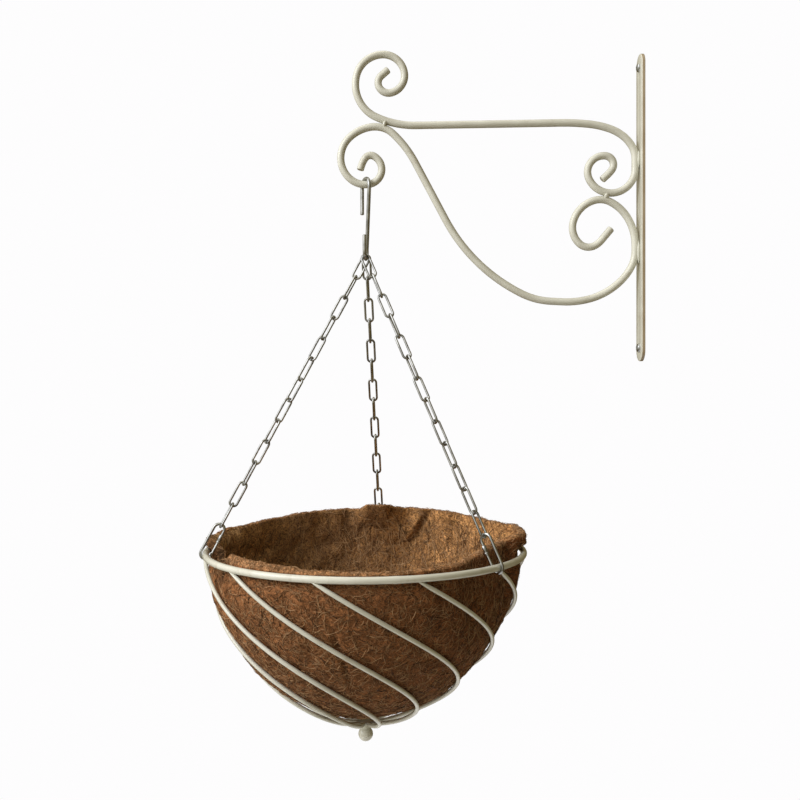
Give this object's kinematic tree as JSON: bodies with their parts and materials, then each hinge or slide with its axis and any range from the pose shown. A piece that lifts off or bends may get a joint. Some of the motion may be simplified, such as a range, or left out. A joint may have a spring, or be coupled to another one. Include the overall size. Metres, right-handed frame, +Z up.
{
  "type": "hanging basket",
  "caption": "Wire hanging basket with swirling ribs, a coir liner and chains on an S-hook, hung from a scrolled rod wall bracket.",
  "frame": {"origin": "middle of the wall plate's back face", "axes": "+X into the wall, +Z up, so the bracket reaches out along -X"},
  "size_m": [0.4787, 0.3528, 0.7559],
  "materials": {
    "cream_paint": "satin cream paint",
    "zinc": "bright zinc plate",
    "coir": "matted brown coconut fibre"
  },
  "bodies": {
    "bracket": {"wall_plate": "cream_paint", "upper_scroll_rod": "cream_paint", "lower_scroll_rod": "cream_paint"},
    "hook": {"s_hook": "zinc"},
    "basket": {"left_chain_link_01": "zinc", "left_chain_link_02": "zinc", "left_chain_link_03": "zinc", "left_chain_link_04": "zinc", "left_chain_link_05": "zinc", "left_chain_link_06": "zinc", "left_chain_link_07": "zinc", "left_chain_link_08": "zinc", "left_chain_link_09": "zinc", "left_chain_link_10": "zinc", "left_chain_link_11": "zinc", "left_chain_link_12": "zinc", "left_chain_link_13": "zinc", "right_chain_link_01": "zinc", "right_chain_link_02": "zinc", "right_chain_link_03": "zinc", "right_chain_link_04": "zinc", "right_chain_link_05": "zinc", "right_chain_link_06": "zinc", "right_chain_link_07": "zinc", "right_chain_link_08": "zinc", "right_chain_link_09": "zinc", "right_chain_link_10": "zinc", "right_chain_link_11": "zinc", "right_chain_link_12": "zinc", "right_chain_link_13": "zinc", "back_chain_link_01": "zinc", "back_chain_link_02": "zinc", "back_chain_link_03": "zinc", "back_chain_link_04": "zinc", "back_chain_link_05": "zinc", "back_chain_link_06": "zinc", "back_chain_link_07": "zinc", "back_chain_link_08": "zinc", "back_chain_link_09": "zinc", "back_chain_link_10": "zinc", "back_chain_link_11": "zinc", "back_chain_link_12": "zinc", "back_chain_link_13": "zinc", "left_rim_connector": "zinc", "right_rim_connector": "zinc", "back_rim_connector": "zinc", "rim_ring": "cream_paint", "rib_01": "cream_paint", "rib_02": "cream_paint", "rib_03": "cream_paint", "rib_04": "cream_paint", "rib_05": "cream_paint", "rib_06": "cream_paint", "rib_07": "cream_paint", "rib_08": "cream_paint", "rib_09": "cream_paint", "rib_10": "cream_paint", "rib_11": "cream_paint", "ball_finial": "cream_paint", "coir_liner": "coir"}
  },
  "joints": [
    {"name": "hook_swing", "type": "hinge", "parent": "bracket", "child": "hook", "pos_m": [-0.30304, 0, 0.02544], "axis": [1, 0, 0], "range_deg": [-40, 40]},
    {"name": "basket_swing", "type": "hinge", "parent": "hook", "child": "basket", "pos_m": [-0.30304, 0, -0.05531], "axis": [-0.1045, -0.9945, 0], "range_deg": [-25, 25]}
  ]
}
